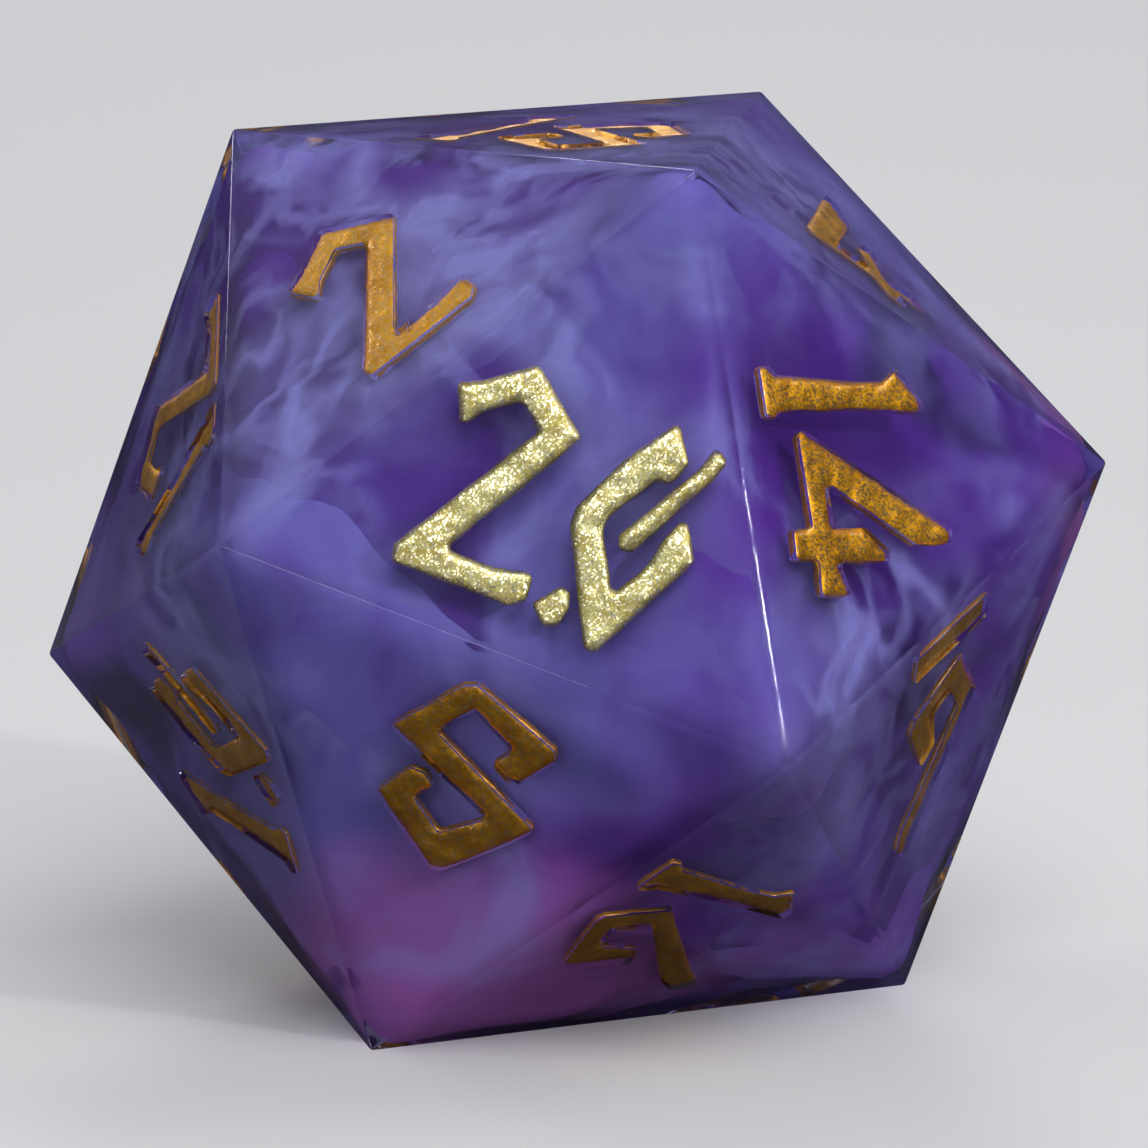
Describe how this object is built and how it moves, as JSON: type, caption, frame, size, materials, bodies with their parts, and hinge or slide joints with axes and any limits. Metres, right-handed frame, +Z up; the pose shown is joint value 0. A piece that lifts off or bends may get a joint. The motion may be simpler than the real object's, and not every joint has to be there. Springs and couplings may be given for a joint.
{
  "type": "polyhedral die",
  "caption": "Sharp-edged icosahedral tabletop gaming die of swirled translucent resin, with a numeral engraved in each triangular face and filled with metallic paint.",
  "frame": {"origin": "centre of the face the die rests on (the 3), at the level of that face", "axes": "+Z up, out through the upper face (the 18); -Y towards the belt corner under the 20, so the 20 leans towards -Y and -X; Y is the longest extent, belt corner to belt corner"},
  "size_m": [0.0214, 0.0246, 0.02],
  "materials": {
    "resin": "polished translucent casting resin with milky and violet swirls",
    "gold_paint": "gold mica paint, slightly grainy, satin"
  },
  "bodies": {
    "root": {"number_10_dot": "gold_paint", "number_10_slash": "gold_paint", "number_10_tens_1": "gold_paint", "number_10_units_0": "gold_paint", "number_11_tens_1": "gold_paint", "number_11_units_1": "gold_paint", "number_12_tens_1": "gold_paint", "number_12_units_2": "gold_paint", "number_13_tens_1": "gold_paint", "number_13_units_3": "gold_paint", "number_14_tens_1": "gold_paint", "number_14_units_4": "gold_paint", "number_15_tens_1": "gold_paint", "number_15_units_5": "gold_paint", "number_16_tens_1": "gold_paint", "number_16_units_6": "gold_paint", "number_17_tens_1": "gold_paint", "number_17_units_7": "gold_paint", "number_18_tens_1": "gold_paint", "number_18_units_8": "gold_paint", "number_19_tens_1": "gold_paint", "number_19_units_9": "gold_paint", "number_1_units_1": "gold_paint", "number_20_dot": "gold_paint", "number_20_slash": "gold_paint", "number_20_tens_2": "gold_paint", "number_20_units_0": "gold_paint", "number_2_units_2": "gold_paint", "number_3_units_3": "gold_paint", "number_4_units_4": "gold_paint", "number_5_units_5": "gold_paint", "number_6_bar": "gold_paint", "number_6_units_6": "gold_paint", "number_7_units_7": "gold_paint", "number_8_units_8": "gold_paint", "number_9_bar": "gold_paint", "number_9_units_9": "gold_paint", "resin_body": "resin"}
  },
  "joints": []
}
